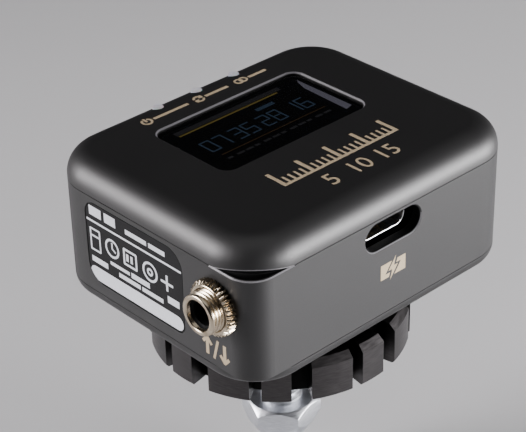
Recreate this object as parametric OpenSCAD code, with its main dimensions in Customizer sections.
// Pocket sync box with a display, held on a threaded stud with a castellated lock ring.
// Millimetres. +Z is up, +X is the reading direction, -Y is the charging-port side.
// The origin is on the stud's axis, at the shoulder above its lower thread.

/* [Housing] */
// Length of the housing along X
box_length = 53; // [50:0.5:60]
// Width of the housing along Y
box_width = 42.8; // [42:0.2:50]
// Height of the housing
box_height = 22.1; // [22:0.1:26]
// Plan radius of the housing's corners
corner_radius = 8; // [7:0.1:9]
// Plan radius of the frame's sharper corner, beside the jack
sound_corner_radius = 4; // [3:0.1:5]
// Thickness of the side walls
wall = 1.6; // [1.2:0.1:1.8]
// Height of the top cover
lid_height = 4.05; // [3.9:0.05:4.4]
// Height of the joint between bottom cover and frame
lower_seam = 2.45; // [2.3:0.05:3]
// Radius of the rolled top edge
top_roll = 3.8; // [3:0.1:3.9]
// Radius of the rolled bottom edge
bottom_roll = 2.2; // [1.8:0.1:2.25]
// Thickness of the top cover's flat skin
top_skin = 1.8; // [1.5:0.05:1.85]
// Thickness of the bottom cover's floor
floor_skin = 1.2; // [1:0.1:1.4]
// Height of the dark line at each joint of the housing
seam_gap = 0.1; // [0.05:0.05:0.3]
// Depth of the dark line at each joint of the housing
seam_depth = 0.4; // [0.2:0.05:0.6]

/* [Display] */
// Length of the window recess along X
window_length = 27.9; // [26:0.1:30]
// Width of the window recess along Y
window_width = 15.7; // [14:0.1:17]
// Corner radius of the window recess
window_radius = 1.8; // [1:0.1:2.5]
// Distance of the window's centre to the right of the housing's centre
window_x = 0.6; // [0:0.1:1.2]
// Distance of the window's centre behind the housing's centre
window_y = 5.2; // [4:0.1:6]
// Chamfer round the top of the window recess
window_chamfer = 0.25; // [0.1:0.05:0.35]
// Depth of the glass below the top face
window_depth = 0.45; // [0.4:0.05:0.6]
// Thickness of the window glass
glass_thickness = 0.7; // [0.5:0.05:0.8]
// Thickness of the tape under the window glass
tape_thickness = 0.15; // [0.1:0.05:0.2]
// Width of the ledge that carries the glass
window_ledge = 0.6; // [0.4:0.1:1]
// Thickness of the display panel
panel_thickness = 1.5; // [1.2:0.1:1.6]

/* [Lights and buttons] */
// Spacing of the three lights and of the three buttons
key_pitch = 7.45; // [7.2:0.05:8]
// Distance of the lights from the housing's rear wall
light_inset = 2.7; // [2.5:0.1:3]
// Diameter of a light pipe
light_diameter = 1.7; // [1.4:0.1:1.8]
// Width of a button
button_width = 5.6; // [5:0.1:5.8]
// Height of a button
button_height = 3; // [2.6:0.1:3.2]
// Distance that a button stands out of the wall
button_proud = 0.5; // [0.45:0.05:0.7]
// Travel of a button
button_travel = 0.4; // [0.3:0.05:0.5]

/* [Charging port] */
// Width of the port's slot
port_width = 10.9; // [10:0.1:12]
// Height of the port's slot
port_height = 4.4; // [4:0.1:4.4]
// Chamfer round the port's slot
port_chamfer = 0.15; // [0.05:0.05:0.25]
// Distance of the port's centre below the top cover
port_drop = 2.7; // [2.6:0.05:2.8]
// Width of the metal socket
socket_width = 8.94; // [8.5:0.01:9.2]
// Height of the metal socket
socket_height = 3.26; // [3:0.01:3.4]
// Length of the metal socket
socket_length = 7.3; // [6.5:0.1:7.4]
// Sheet thickness of the metal socket
socket_sheet = 0.3; // [0.2:0.05:0.4]
// Distance of the socket's mouth behind the wall's face
socket_recess = 2.3; // [0.5:0.1:2.5]

/* [Audio jack] */
// Distance of the jack's axis behind the charging-port side
jack_inset = 6.6; // [6.4:0.1:7.4]
// Distance of the jack's axis below the top cover
jack_drop = 5.65; // [5.55:0.05:6.2]
// Diameter of the plug bore
jack_bore = 3.6; // [3.5:0.05:3.8]
// Diameter of the threaded barrel
barrel_diameter = 6; // [5.6:0.1:6.4]
// Distance that the barrel stands out of the wall
barrel_reach = 3.4; // [3:0.1:5]
// Diameter of the ring nut
nut_diameter = 8.2; // [7.6:0.1:9.2]
// Thickness of the ring nut
nut_thickness = 1.5; // [1.2:0.1:2.4]

/* [Side plate] */
// Length of the side plate along Y
plate_length = 20.3; // [18:0.1:21]
// Distance of the plate's upper edge below the top cover
plate_drop = 0.9; // [0.7:0.1:2]
// Distance of the plate's centre behind the housing's centre
plate_y = 2.2; // [1.8:0.1:3]
// Distance of the plate's lower edge above the bottom cover
plate_rise = 1.9; // [0.8:0.1:3]
// Thickness of the plate
plate_thickness = 0.25; // [0.15:0.05:0.3]

/* [Battery] */
// Clearance between the battery cell and the connectors in front of it
cell_front_gap = 0.5; // [0.3:0.1:2]
// Clearance between the battery cell and the switches behind it
cell_rear_gap = 1.2; // [0.8:0.1:3]
// Clearance between the battery cell and the jack
cell_jack_gap = 0.8; // [0.4:0.1:3]
// Clearance between the battery cell and the end wall
cell_end_gap = 1.3; // [1:0.1:4]
// Clearance between the battery cell and the board, for the chips
cell_board_gap = 2.28; // [1.5:0.01:4]

/* [Mounting stud] */
// Distance of the stud's axis from the housing's centre, towards the jack
stud_offset = 1.5; // [0:0.1:2]
// Diameter of the stud's thread, a quarter of an inch
stud_diameter = 6.35; // [6:0.05:6.5]
// Length of the lower thread
lower_thread = 8; // [6:0.5:12]
// Height of the hexagon
hex_height = 6; // [5:0.1:8]
// Width of the hexagon across its flats
hex_flats = 10.7; // [10:0.1:12]
// Distance from the hexagon's top to the housing
neck_length = 22.9; // [22.5:0.1:30]
// Depth of thread inside the housing
thread_depth = 5.9; // [5:0.1:6]

/* [Lock ring] */
// Diameter of the castellated ring
ring_diameter = 38.9; // [34:0.1:42]
// Height of the ring's teeth
ring_height = 6.7; // [5:0.1:8]
// Pairs of wide and narrow teeth
tooth_pairs = 8; // [6:1:8]
// Radial depth of the slots
slot_depth = 3.2; // [2:0.1:3.4]
// Width of the narrow slots
narrow_slot = 1.8; // [1.4:0.1:2.2]
// Width of the wide slots
wide_slot = 2.95; // [2.4:0.05:3.2]
// Chamfer on the teeth's upper outer edge
ring_chamfer = 1; // [0.5:0.1:1.4]
// Diameter of the ring's hub and of the washer
hub_diameter = 16; // [14:0.5:18]
// Height of the hub above the teeth
hub_height = 2.1; // [2:0.1:4]
// Thickness of the friction washer
washer_thickness = 1.5; // [1:0.1:2]

/* [Fits] */
// Clearance between pieces that are pressed or glued together
snug = 0.02; // [0.01:0.01:0.05]
// Radial clearance between a thread and its nut
thread_fit = 0.07; // [0.02:0.01:0.1]
// Clearance between a moving button and the hole in the wall
button_gap = 0.15; // [0.1:0.01:0.2]
// Clearance between a case screw and the holes that it passes
screw_gap = 0.15; // [0.05:0.05:0.25]

/* [Hidden] */
$fn = 96;
// Overlap of a cutting shape past the face that it opens
past = 1;

// Heights in the part's own frame
box_z = hex_height + neck_length;
upper_seam = box_height - lid_height;
ring_z = box_z - washer_thickness - hub_height - ring_height;

// Inside of the housing
inner_length = box_length - 2 * wall;
inner_width = box_width - 2 * wall;
inner_radius = corner_radius - wall;
ceiling_z = box_height - top_skin;
corner_x = box_length / 2 - corner_radius;
corner_y = box_width / 2 - corner_radius;
sharp_x = box_length / 2 - sound_corner_radius;
sharp_y = box_width / 2 - sound_corner_radius;

// Connectors, measured from the housing's edges
port_z = upper_seam - port_drop;
jack_y = box_width / 2 - jack_inset;
jack_z = upper_seam - jack_drop;

// Circuit board, which hangs the connectors below it and carries the display above it
board_thickness = 0.8;
board_margin = 0.3;
board_z = port_z + socket_height / 2;
board_top = board_z + board_thickness;

// Case screws, with three at the corners and one beside the jack
screw_diameter = 2;
screw_head_diameter = 3.8;
screw_head_height = 1.1;
screw_sink = 0.15;
screw_bite = 1.9;
post_radius = 2.2;
post_inset = 5.2;
jack_post_offset = 16.9;
jack_post_inset = 4.8;
screw_spots = [
    [box_length / 2 - post_inset, box_width / 2 - post_inset],
    [-box_length / 2 + post_inset, box_width / 2 - post_inset],
    [box_length / 2 - post_inset, -box_width / 2 + post_inset],
    [-box_length / 2 + jack_post_offset, -box_width / 2 + jack_post_inset]
];
web = 1.6;

// Sound slot at the sharper corner: a pocket in the frame below an arch in the top cover
sound_shelf = 1.65;
sound_pocket_depth = 1.15;
sound_rim = 0.45;
sound_rim_chamfer = 0.2;
sound_pocket_tuck = 0.25;
sound_pocket_radius = corner_radius - sound_pocket_tuck;
arch_rise = 0.6;
arch_half_width = 5.25;
arch_start = 3.5;
arch_bearing = 226;
arch_radius = (arch_half_width * arch_half_width + arch_rise * arch_rise) / (2 * arch_rise);
mesh_thickness = 0.4;
mesh_inset = 1.1;

// Window, panel and lights
opening_length = window_length - 2 * window_ledge;
opening_width = window_width - 2 * window_ledge;
opening_radius = max(window_radius - window_ledge, 0.4);
glass_z = box_height - window_depth - glass_thickness;
tape_z = glass_z - tape_thickness;
glass_gap = 0.1;
panel_side_gap = 0.15;
panel_length = opening_length - 2 * panel_side_gap;
panel_width = opening_width - 2 * panel_side_gap;
panel_radius = opening_radius - panel_side_gap;
panel_z = glass_z - snug - panel_thickness;
flex_width = 9;
flex_thickness = 0.15;
flex_reach = 1.6;
flex_pad = 1.4;
light_y = box_width / 2 - light_inset;
light_proud = 0.1;
roll_drop = top_roll - sqrt(top_roll * top_roll - pow(top_roll - light_inset, 2));
light_top = box_height - roll_drop + light_proud;
led_size = [1.6, 0.8, 0.6];
led_gap = 0.15;

// Buttons and their switches
button_drop = 3.6;
button_z = upper_seam - button_drop;
flange_extra = 0.5;
flange_thickness = 0.5;
flange_gap = 0.2;
switch_size = [6, 3.5, 4.4];
switch_gap = 1;
plunger_radius = 0.9;
plunger_fit = 0.05;
plunger_hold = 0.9;
plunger_well = 1.6;
button_back = box_width / 2 - wall - flange_gap - flange_thickness;
switch_front = button_back - switch_gap;

// Jack
flange_radius = 3.9;
barrel_flange = 1;
jack_size = [10.7, 8, 7.6];
jack_well = 9;
mouth_chamfer = 0.25;
bore_chamfer = 0.4;
contact_thickness = 0.3;
contact_width = 1.6;
contact_height = 5;
contact_rows = [4.6, 8.3];
jack_x = -box_length / 2 + wall + barrel_flange;

// Port
tongue_size = [6.7, 4.6, 0.7];
tongue_block = 2;

// Plate on the jack's side, with its own recess
plate_radii = [3, 2, 3, 1.2];
plate_height = upper_seam - plate_drop - lower_seam - plate_rise;
plate_z = lower_seam + plate_rise + plate_height / 2;
plate_gap = 0.15;
plate_sink = 0.05;

// Board furniture, placed from the housing's walls, the window and the display's strip
front_y = -box_width / 2;
left_x = -box_length / 2;
right_x = box_length / 2;
chip_row = 10.9;
chip_size = [7, 7, 0.9];
chip_spot = [-7, front_y + chip_row];
shield_size = [13, 10, 1.9];
shield_spot = [7.5, front_y + chip_row];
shield_sheet = 0.25;
antenna_size = [3, 9, 1.2];
antenna_end = 5.9;
antenna_inset = 16.4;
antenna_spot = [right_x - antenna_end, front_y + antenna_inset];
crystal_size = [3.2, 2.5, 0.8];
crystal_end = 8;
crystal_inset = 16.4;
charger_size = [4, 4, 0.9];
charger_inset = 20.4;
memory_size = [5, 2.2, 1];
memory_x = 1;
memory_inset = 4.4;
strip_socket_size = [2.4, 9, 1.1];
strip_socket_x = window_x + panel_length / 2 + flex_reach + flex_pad + strip_socket_size[0] / 2;
top_chips = [
    [[left_x + crystal_end, front_y + crystal_inset], crystal_size],
    [[left_x + crystal_end, front_y + charger_inset], charger_size],
    [[memory_x, front_y + memory_inset], memory_size],
    [[strip_socket_x, window_y], strip_socket_size]
];
under_chips = [
    [[10, -2], [5, 5, 0.9]],
    [[-2, 4], [6, 5, 1]],
    [[16, 5], [3.2, 2.5, 0.8]],
    [[-9, -6], [4, 4, 0.9]]
];
mic_radius = 2;
mic_height = 1.6;
mic_inset = 1.6;

// Battery on its pad and ribs
pad_thickness = 0.5;
insert_radius = 4.75;
insert_height = 6.3;
boss_radius = 7;
boss_cap = 0.4;
boss_height = insert_height + boss_cap;
rib_thickness = 1.2;
rib_length = 28;
rib_y = 9.5;
pad_z = boss_height;
cell_z = pad_z + pad_thickness;
cell_left = jack_x + jack_size[0] + cell_jack_gap;
cell_length = box_length / 2 - wall - cell_end_gap - cell_left;
cell_x = cell_left + cell_length / 2;
cell_front = -box_width / 2 + socket_recess + socket_length + cell_front_gap;
cell_width = switch_front - switch_size[1] - cell_rear_gap - cell_front;
cell_y = cell_front + cell_width / 2;
cell_thickness = board_z - cell_board_gap - cell_z;
pad_inset = 1;
lead_width = 3;
lead_thickness = 0.2;
lead_spacing = 8;
lead_hold = 2;

// Stud and ring
stud_radius = stud_diameter / 2;
thread_chamfer = 0.6;
hex_corner_radius = hex_flats / 2 / cos(30);
hex_taper = 3.6;
hex_foot_radius = 3.9;
hex_top_chamfer = 1.1;
hex_turn = 11;
ring_radius = ring_diameter / 2;
ring_phase = 24.2;
narrow_slot_angle = 11.9;
wide_slot_angle = 31.4;
tooth_step = 360 / tooth_pairs;
ring_foot_chamfer = 0.4;
dish_inner = 7.5;
dish_wall = 2.2;
dish_depth = 2.6;

// Shapes that several pieces share

// Upright block with its own radius at each corner, from the far right corner, anticlockwise
module rounded_block(size, radii) {
    centres = [[1, 1], [-1, 1], [-1, -1], [1, -1]];
    difference() {
        translate([-size[0] / 2, -size[1] / 2, 0]) cube(size);
        for (corner = [0:3]) {
            radius = radii[corner];
            place = [size[0] / 2 - radius, size[1] / 2 - radius];
            translate([centres[corner][0] * place[0], centres[corner][1] * place[1], -past])
                rotate([0, 0, 90 * corner])
                    difference() {
                        cube([radius + past, radius + past, size[2] + 2 * past]);
                        translate([0, 0, -past]) cylinder(r = radius, h = size[2] + 4 * past);
                    }
        }
    }
}

// Block with round ends along its width
module stadium(width, height, depth) {
    translate([-(width - height) / 2, -height / 2, 0]) cube([width - height, height, depth]);
    for (side = [-1, 1])
        translate([side * (width - height) / 2, 0, 0]) cylinder(d = height, h = depth);
}

// Section of a cover, solid from the corner's centre out to a rolled edge
module rolled_profile(radius, height, roll) {
    difference() {
        translate([-past, -past]) square([radius + past, height + past]);
        translate([radius - roll, height - roll])
            difference() {
                square(roll + past);
                circle(r = roll);
            }
    }
}

// Section of a hollow cover, with a step at its open edge for the dark line at the joint
module cover_section(radius, height, roll, skin) {
    intersection() {
        square([radius, height]);
        difference() {
            rolled_profile(radius, height, roll);
            rolled_profile(radius - wall, height - skin, max(roll - wall, 0.3));
            translate([radius - seam_depth, -past]) square([seam_depth + past, seam_gap + past]);
        }
    }
}

// Runs a section round a rounded rectangle, outwards from the centres of its corners
module run_round(straight_x, straight_y) {
    for (turn = [0:3]) {
        place = [(turn == 0 || turn == 3) ? straight_x : -straight_x, turn < 2 ? straight_y : -straight_y, 0];
        translate(place) rotate([0, 0, 90 * turn]) rotate_extrude(angle = 90) children();
    }
    for (turn = [0, 180]) {
        rotate([0, 0, turn]) translate([-straight_x, straight_y, 0]) rotate([90, 0, 90])
            linear_extrude(2 * straight_x) children();
        rotate([0, 0, turn]) translate([straight_x, straight_y, 0]) rotate([90, 0, 0])
            linear_extrude(2 * straight_y) children();
    }
}

// Hollow cover with a rolled edge, closed in the middle by a flat plate
module cover_shell(length, width, radius, height, roll, skin) {
    straight_x = length / 2 - radius;
    straight_y = width / 2 - radius;
    run_round(straight_x, straight_y) cover_section(radius, height, roll, skin);
    translate([-straight_x, -straight_y, height - skin]) cube([2 * straight_x, 2 * straight_y, skin]);
}

// Places a shape in the housing, with its height measured from the housing's bottom
module in_box() {
    translate([stud_offset, 0, box_z]) children();
}

// Places a shape on an outer face, with x to the right, y up and z outwards
module on_front() {
    translate([0, -box_width / 2, 0]) rotate([90, 0, 0]) children();
}

module on_left() {
    translate([-box_length / 2, 0, 0]) rotate([90, 0, -90]) children();
}

module on_rear() {
    translate([0, box_width / 2, 0]) rotate([90, 0, 180]) children();
}

// Repeats a shape at the three lights and buttons
module at_each_key() {
    for (key = [-1:1]) translate([key * key_pitch, 0, 0]) children();
}

// Block of a chip, centred on its spot
module chip(spot, size, height) {
    translate([spot[0] - size[0] / 2, spot[1] - size[1] / 2, height]) cube(size);
}

// Cylinder that points out of the sharper corner, for the arch above the sound slot
module arch_tool(radius) {
    translate([-corner_x, -corner_y, upper_seam + arch_rise - arch_radius])
        rotate([0, 0, arch_bearing]) translate([arch_start, 0, 0]) rotate([0, 90, 0])
            cylinder(r = radius, h = corner_radius - arch_start + past, $fn = 360);
}

// Covers and frame

// Chamfer round the top of the window recess
module window_rim_cut() {
    size = window_chamfer;
    edge = [[window_radius - size, -size], [window_radius, -size], [window_radius + size + past, past],
        [window_radius - size, past]];
    translate([window_x, window_y, box_height])
        run_round(window_length / 2 - window_radius, window_width / 2 - window_radius) polygon(edge);
}

module top_cover() {
    pilot = screw_diameter / 2 + snug;
    color("#1b1b1d") in_box() difference() {
        union() {
            translate([0, 0, upper_seam])
                cover_shell(box_length, box_width, corner_radius, lid_height, top_roll, top_skin);
            for (spot = screw_spots)
                translate([spot[0], spot[1], board_top])
                    cylinder(r = post_radius, h = ceiling_z - board_top + snug);
        }
        for (spot = screw_spots)
            translate([spot[0], spot[1], board_top - past]) cylinder(r = pilot, h = screw_bite + past);
        translate([window_x, window_y, tape_z])
            rounded_block([window_length, window_width, box_height], [for (corner = [0:3]) window_radius]);
        translate([window_x, window_y, ceiling_z - past])
            rounded_block([opening_length, opening_width, box_height], [for (corner = [0:3]) opening_radius]);
        window_rim_cut();
        at_each_key()
            translate([0, light_y, upper_seam]) cylinder(d = light_diameter + 2 * snug, h = box_height);
        arch_tool(arch_radius);
    }
}

// Wall of the frame, with its sharper corner closed by a shelf at the top
module frame_wall() {
    height = upper_seam - lower_seam;
    sharp_inner = sound_corner_radius - wall;
    outer = [corner_radius, corner_radius, sound_corner_radius, corner_radius];
    lower_inner = [inner_radius, inner_radius, sharp_inner, inner_radius];
    upper_inner = [inner_radius, inner_radius, inner_radius, inner_radius];
    difference() {
        translate([0, 0, lower_seam]) rounded_block([box_length, box_width, height], outer);
        translate([0, 0, lower_seam - past])
            rounded_block([inner_length, inner_width, height - sound_shelf + past], lower_inner);
        translate([0, 0, lower_seam - past])
            rounded_block([inner_length, inner_width, height + 2 * past], upper_inner);
    }
}

// Posts that carry the board, each tied to the nearest wall by a web
module frame_posts() {
    height = board_z - lower_seam;
    for (spot = screw_spots)
        translate([spot[0], spot[1], lower_seam]) cylinder(r = post_radius, h = height);
    for (spot = [0:2]) {
        side = screw_spots[spot][0] > 0 ? 1 : -1;
        reach = box_length / 2 - wall / 2 - abs(screw_spots[spot][0]);
        translate([screw_spots[spot][0], screw_spots[spot][1] - web / 2, lower_seam])
            mirror([side > 0 ? 0 : 1, 0, 0]) cube([reach, web, height]);
    }
    front_reach = box_width / 2 - wall / 2 + screw_spots[3][1];
    translate([screw_spots[3][0] - web / 2, screw_spots[3][1] - front_reach, lower_seam])
        cube([web, front_reach, height]);
}

// Pocket of the sound slot, between the frame's thin rim and the top cover's rounder corner
module sound_pocket() {
    span = corner_radius - sound_rim;
    rim_radius = sound_corner_radius - sound_rim;
    translate([-corner_x - span / 2, -corner_y - span / 2, upper_seam - sound_pocket_depth])
        difference() {
            rounded_block([span, span, sound_pocket_depth + past], [0.01, 0.01, rim_radius, 0.01]);
            translate([span / 2, span / 2, -past])
                cylinder(r = sound_pocket_radius, h = sound_pocket_depth + 3 * past);
        }
}

// Chamfer along the rim of the sound slot
module sound_rim_cut() {
    size = sound_rim_chamfer;
    run = corner_radius - sound_corner_radius;
    edge = [[-size, 0], [past, 0], [past, -size - past], [0, -size]];
    translate([-sharp_x, -sharp_y, upper_seam]) {
        rotate([0, 0, 180]) rotate_extrude(angle = 90) translate([sound_corner_radius, 0]) polygon(edge);
        rotate([0, 0, 180]) translate([sound_corner_radius, 0, 0]) rotate([90, 0, 0])
            linear_extrude(run) polygon(edge);
        rotate([0, 0, 180]) translate([-run, sound_corner_radius, 0]) rotate([90, 0, 90])
            linear_extrude(run) polygon(edge);
    }
}

// Chamfer round the port's slot
module port_rim_cut() {
    size = port_chamfer;
    half = port_height / 2;
    run = port_width - port_height;
    for (side = [-1, 1])
        translate([side * run / 2, 0, -size])
            cylinder(r1 = half, r2 = half + size + past, h = size + past);
    translate([-run / 2, 0, 0]) rotate([90, 0, 90]) linear_extrude(run)
        polygon([[-half, -size], [half, -size], [half + size + past, past], [-half - size - past, past]]);
}

module middle_frame() {
    plate_depth = plate_thickness + plate_sink;
    plate_hole = [plate_length + 2 * plate_gap, plate_height + 2 * plate_gap, plate_depth + past];
    color("#212123") in_box() difference() {
        union() {
            frame_wall();
            frame_posts();
        }
        for (spot = screw_spots)
            translate([spot[0], spot[1], lower_seam - past])
                cylinder(r = screw_diameter / 2 + screw_gap, h = box_height);
        on_front() translate([0, port_z, -wall - past]) stadium(port_width, port_height, wall + 2 * past);
        on_front() translate([0, port_z, 0]) port_rim_cut();
        on_left() translate([jack_y, jack_z, -wall - past])
            cylinder(d = barrel_diameter + 2 * snug, h = wall + 2 * past);
        on_left() translate([jack_y, jack_z, -wall - barrel_flange - past])
            cylinder(r = flange_radius + snug, h = barrel_flange + past);
        on_left() translate([-plate_y, plate_z, -plate_depth])
            rounded_block(plate_hole, [for (radius = plate_radii) radius + plate_gap]);
        on_rear() at_each_key() translate([0, button_z, -wall - past])
            stadium(button_width + 2 * button_gap, button_height + 2 * button_gap, wall + 2 * past);
        sound_pocket();
        sound_rim_cut();
    }
}

module bottom_cover() {
    hole = screw_diameter / 2 + screw_gap;
    head = screw_head_diameter / 2 + screw_gap;
    color("#1b1b1d") in_box() difference() {
        union() {
            translate([0, 0, lower_seam]) mirror([0, 0, 1])
                cover_shell(box_length, box_width, corner_radius, lower_seam, bottom_roll, floor_skin);
            for (spot = screw_spots)
                translate([spot[0], spot[1], floor_skin - snug])
                    cylinder(r = post_radius, h = lower_seam - floor_skin + snug);
            translate([-stud_offset, 0, floor_skin - snug])
                cylinder(r = boss_radius, h = boss_height - floor_skin + snug);
            for (side = [-1, 1])
                translate([cell_x - rib_length / 2, side * rib_y - rib_thickness / 2, floor_skin - snug])
                    cube([rib_length, rib_thickness, boss_height - floor_skin + snug]);
        }
        translate([-stud_offset, 0, -past]) cylinder(r = insert_radius + snug, h = insert_height + past);
        for (spot = screw_spots) {
            translate([spot[0], spot[1], -past]) cylinder(r = hole, h = lower_seam + 2 * past);
            translate([spot[0], spot[1], -past])
                cylinder(r = head, h = screw_head_height + screw_sink + past);
        }
    }
}

module case_screws() {
    length = board_top + screw_bite - screw_gap - screw_sink - screw_head_height;
    color("#3a3a3c") in_box()
        for (spot = screw_spots) translate([spot[0], spot[1], screw_sink]) {
            cylinder(d = screw_head_diameter, h = screw_head_height);
            translate([0, 0, screw_head_height]) cylinder(d = screw_diameter, h = length);
        }
}

// Display and lights

module display_window() {
    size = [window_length - 2 * glass_gap, window_width - 2 * glass_gap, glass_thickness];
    color("#07080a") in_box() translate([window_x, window_y, glass_z])
        rounded_block(size, [for (corner = [0:3]) window_radius - glass_gap]);
}

module window_tape() {
    outer = [window_length - 2 * glass_gap, window_width - 2 * glass_gap, tape_thickness];
    inner = [opening_length, opening_width, tape_thickness + 2 * past];
    color("#151515") in_box() translate([window_x, window_y, tape_z]) difference() {
        rounded_block(outer, [for (corner = [0:3]) window_radius - glass_gap]);
        translate([0, 0, -past]) rounded_block(inner, [for (corner = [0:3]) opening_radius]);
    }
}

module display_panel() {
    color("#101822") in_box() translate([window_x, window_y, panel_z])
        rounded_block([panel_length, panel_width, panel_thickness], [for (corner = [0:3]) panel_radius]);
}

module display_cushion() {
    color("#2a2a2a") in_box() translate([window_x - panel_length / 2, window_y - panel_width / 2, board_top])
        cube([panel_length, panel_width, panel_z - board_top]);
}

// Flat strip from the panel's end down to the board
module panel_flex() {
    rise = panel_z - board_top;
    outline = [[0, rise], [0, rise + flex_thickness], [flex_reach, rise + flex_thickness],
        [flex_reach, flex_thickness], [flex_reach + flex_pad, flex_thickness], [flex_reach + flex_pad, 0],
        [flex_reach - flex_thickness, 0], [flex_reach - flex_thickness, rise]];
    color("#b8772e") in_box() translate([window_x + panel_length / 2, window_y + flex_width / 2, board_top])
        rotate([90, 0, 0]) linear_extrude(flex_width) polygon(outline);
}

module light_pipes() {
    foot = board_top + led_size[2] + led_gap;
    color("#f4f4ee") in_box() at_each_key()
        translate([0, light_y, foot]) cylinder(d = light_diameter, h = light_top - foot);
}

module status_leds() {
    color("#e9e4c8") in_box() at_each_key()
        translate([-led_size[0] / 2, light_y - led_size[1] / 2, board_top]) cube(led_size);
}

// Buttons

module button_cap(key) {
    flange = [button_width + 2 * flange_extra, button_height + 2 * flange_extra];
    color("#262628") in_box() on_rear() translate([-key * key_pitch, button_z, -wall - flange_gap]) {
        translate([0, 0, -flange_thickness]) stadium(flange[0], flange[1], flange_thickness);
        stadium(button_width, button_height, wall + flange_gap + button_proud);
    }
}

module switch_plunger(key) {
    color("#8d8d90") in_box() translate([key * key_pitch, switch_front - plunger_hold, button_z])
        rotate([-90, 0, 0]) cylinder(r = plunger_radius, h = plunger_hold + switch_gap);
}

module power_button() button_cap(-1);
module sync_button() button_cap(0);
module pair_button() button_cap(1);
module power_plunger() switch_plunger(-1);
module sync_plunger() switch_plunger(0);
module pair_plunger() switch_plunger(1);

module switch_bodies() {
    color("#303033") in_box() at_each_key() difference() {
        translate([-switch_size[0] / 2, switch_front - switch_size[1], board_z - switch_size[2]])
            cube(switch_size);
        translate([0, switch_front - plunger_well, button_z]) rotate([-90, 0, 0])
            cylinder(r = plunger_radius + plunger_fit, h = plunger_well + past);
    }
}

// Electronics

module main_board() {
    size = [inner_length - 2 * board_margin, inner_width - 2 * board_margin, board_thickness];
    color("#0f3d25") in_box() difference() {
        translate([0, 0, board_z]) rounded_block(size, [for (corner = [0:3]) inner_radius - board_margin]);
        for (spot = screw_spots)
            translate([spot[0], spot[1], board_z - past])
                cylinder(r = screw_diameter / 2 + screw_gap, h = board_thickness + 2 * past);
    }
}

module processor_chip() {
    color("#18181a") in_box() chip(chip_spot, chip_size, board_top);
}

module radio_shield() {
    inside = [for (side = [0, 1]) shield_size[side] - 2 * shield_sheet];
    depth = shield_size[2] - shield_sheet;
    color("#c4c6c8") in_box() translate([shield_spot[0], shield_spot[1], board_top]) difference() {
        translate([-shield_size[0] / 2, -shield_size[1] / 2, 0]) cube(shield_size);
        translate([-inside[0] / 2, -inside[1] / 2, -past]) cube([inside[0], inside[1], depth + past]);
    }
}

module board_chips() {
    color("#1d1d20") in_box() {
        for (each_chip = top_chips) chip(each_chip[0], each_chip[1], board_top);
        for (each_chip = under_chips) chip(each_chip[0], each_chip[1], board_z - each_chip[1][2]);
    }
}

module antenna() {
    color("#d9d4c4") in_box() chip(antenna_spot, antenna_size, board_top);
}

module mic_capsule() {
    color("#b9bbbd") in_box() translate([-corner_x - mic_inset, -corner_y - mic_inset, board_top])
        cylinder(r = mic_radius, h = mic_height);
}

// Curved strip of mesh that closes the sound slot under the arch
module mic_mesh() {
    outer = corner_radius - mesh_inset;
    color("#0c0c0d") in_box() intersection() {
        arch_tool(arch_radius - snug);
        translate([-corner_x, -corner_y, upper_seam]) difference() {
            cylinder(r = outer, h = lid_height);
            translate([0, 0, -past]) cylinder(r = outer - mesh_thickness, h = lid_height + 2 * past);
        }
    }
}

// Charging port

module usb_shell() {
    inner_w = socket_width - 2 * socket_sheet;
    inner_h = socket_height - 2 * socket_sheet;
    color("#c9ccd0") in_box() on_front() translate([0, port_z, -socket_recess - socket_length]) difference() {
        stadium(socket_width, socket_height, socket_length);
        translate([0, 0, -past]) stadium(inner_w, inner_h, socket_length + 2 * past);
    }
}

module usb_tongue() {
    inner_w = socket_width - 2 * socket_sheet - 2 * snug;
    inner_h = socket_height - 2 * socket_sheet - 2 * snug;
    color("#161618") in_box() on_front() translate([0, port_z, -socket_recess - socket_length]) {
        stadium(inner_w, inner_h, tongue_block);
        translate([-tongue_size[0] / 2, -tongue_size[2] / 2, tongue_block])
            cube([tongue_size[0], tongue_size[2], tongue_size[1]]);
    }
}

// Audio jack

module jack_barrel() {
    reach = wall + barrel_reach;
    bore = jack_bore / 2;
    rim = barrel_diameter / 2;
    tip = barrel_flange + reach;
    outline = [[bore, 0], [flange_radius, 0], [flange_radius, barrel_flange], [rim, barrel_flange],
        [rim, tip - mouth_chamfer], [rim - mouth_chamfer, tip], [bore + bore_chamfer, tip],
        [bore, tip - bore_chamfer]];
    color("#d8d2c4") in_box() on_left() translate([jack_y, jack_z, -wall - barrel_flange])
        rotate_extrude() polygon(outline);
}

module jack_nut() {
    hole = barrel_diameter / 2 + snug;
    rim = nut_diameter / 2;
    bevel = 2 * mouth_chamfer;
    outline = [[hole, 0], [rim, 0], [rim, nut_thickness - bevel], [rim - bevel, nut_thickness],
        [hole, nut_thickness]];
    color("#cfc8b8") in_box() on_left() translate([jack_y, jack_z, 0]) rotate_extrude() polygon(outline);
}

module jack_body() {
    place = [jack_x, -jack_y - jack_size[1] / 2, jack_z - jack_size[2] / 2];
    color("#1a1a1c") in_box() difference() {
        translate(place) cube(jack_size);
        translate([jack_x - past, -jack_y, jack_z]) rotate([0, 90, 0])
            cylinder(d = jack_bore, h = jack_well + past);
    }
}

// Spring contacts on the jack's two sides, with legs up to the board
module jack_contacts() {
    foot = jack_z + jack_size[2] / 2 - contact_height;
    color("#c9a24a") in_box()
        for (side = [0, 1], row = contact_rows)
            translate([jack_x + row,
                    -jack_y + (side == 0 ? jack_size[1] / 2 : -jack_size[1] / 2 - contact_thickness), foot])
                cube([contact_width, contact_thickness, board_z - foot]);
}

// Battery

module battery_cell() {
    color("#9fa6ad") in_box() translate([cell_x - cell_length / 2, cell_y - cell_width / 2, cell_z])
        cube([cell_length, cell_width, cell_thickness]);
}

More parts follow.
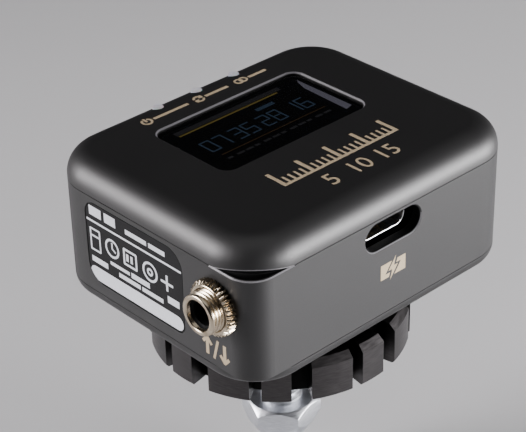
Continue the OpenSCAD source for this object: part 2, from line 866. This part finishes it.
module battery_pad() {
    size = [cell_length - 2 * pad_inset, cell_width - 2 * pad_inset, pad_thickness];
    color("#e6e6e2") in_box() translate([cell_x - size[0] / 2, cell_y - size[1] / 2, pad_z]) cube(size);
}

module battery_leads() {
    foot = cell_z + cell_thickness - lead_hold;
    color("#c0c3c6") in_box()
        for (side = [-1, 1])
            translate([cell_x + cell_length / 2, cell_y + side * lead_spacing / 2 - lead_width / 2, foot])
                cube([lead_thickness, lead_width, board_z - foot]);
}

module side_plate() {
    color("#0b0b0c") in_box() on_left() translate([-plate_y, plate_z, -plate_thickness - plate_sink])
        rounded_block([plate_length, plate_height, plate_thickness], plate_radii);
}

// Mount

module thread_insert() {
    color("#b58a3c") in_box() translate([-stud_offset, 0, 0]) difference() {
        cylinder(r = insert_radius, h = insert_height);
        translate([0, 0, -past]) cylinder(r = stud_radius + thread_fit, h = insert_height + 2 * past);
    }
}

module mount_stud() {
    top = box_z + thread_depth;
    hex_outline = [[0, 0], [hex_foot_radius, 0], [hex_corner_radius, hex_taper],
        [hex_corner_radius, hex_height - hex_top_chamfer], [hex_corner_radius - hex_top_chamfer, hex_height],
        [0, hex_height]];
    rod_outline = [[0, -lower_thread], [stud_radius - thread_chamfer, -lower_thread],
        [stud_radius, -lower_thread + thread_chamfer], [stud_radius, top - thread_chamfer],
        [stud_radius - thread_chamfer, top], [0, top]];
    color("#c3c8cf") union() {
        intersection() {
            rotate([0, 0, hex_turn]) cylinder(r = hex_corner_radius, h = hex_height, $fn = 6);
            rotate_extrude() polygon(hex_outline);
        }
        rotate_extrude() polygon(rod_outline);
    }
}

module friction_washer() {
    color("#17171a") translate([0, 0, box_z - washer_thickness]) difference() {
        cylinder(d = hub_diameter, h = washer_thickness);
        translate([0, 0, -past]) cylinder(r = stud_radius + thread_fit, h = washer_thickness + 2 * past);
    }
}

module slot_cut(width) {
    translate([ring_radius - slot_depth, -width / 2, -past])
        cube([slot_depth + past, width, ring_height + 2 * past]);
}

module lock_ring() {
    bore = stud_radius + thread_fit;
    hub = hub_diameter / 2;
    dish_outer = ring_radius - slot_depth - dish_wall;
    outline = [[bore, 0], [dish_inner, 0], [dish_inner, dish_depth], [dish_outer, dish_depth],
        [dish_outer, 0], [ring_radius - ring_foot_chamfer, 0], [ring_radius, ring_foot_chamfer],
        [ring_radius, ring_height - ring_chamfer], [ring_radius - ring_chamfer, ring_height],
        [hub, ring_height], [hub, ring_height + hub_height], [bore, ring_height + hub_height]];
    color("#2b292a") translate([0, 0, ring_z]) difference() {
        rotate_extrude() polygon(outline);
        for (pair = [0:tooth_pairs - 1]) rotate([0, 0, ring_phase + pair * tooth_step]) {
            rotate([0, 0, narrow_slot_angle]) slot_cut(narrow_slot);
            rotate([0, 0, wide_slot_angle]) slot_cut(wide_slot);
        }
    }
}

top_cover();
middle_frame();
bottom_cover();
case_screws();
display_window();
window_tape();
display_panel();
display_cushion();
panel_flex();
light_pipes();
status_leds();
power_button();
power_plunger();
sync_button();
sync_plunger();
pair_button();
pair_plunger();
switch_bodies();
main_board();
processor_chip();
radio_shield();
board_chips();
antenna();
usb_shell();
usb_tongue();
jack_barrel();
jack_nut();
jack_body();
jack_contacts();
mic_capsule();
mic_mesh();
battery_cell();
battery_pad();
battery_leads();
side_plate();
thread_insert();
mount_stud();
friction_washer();
lock_ring();
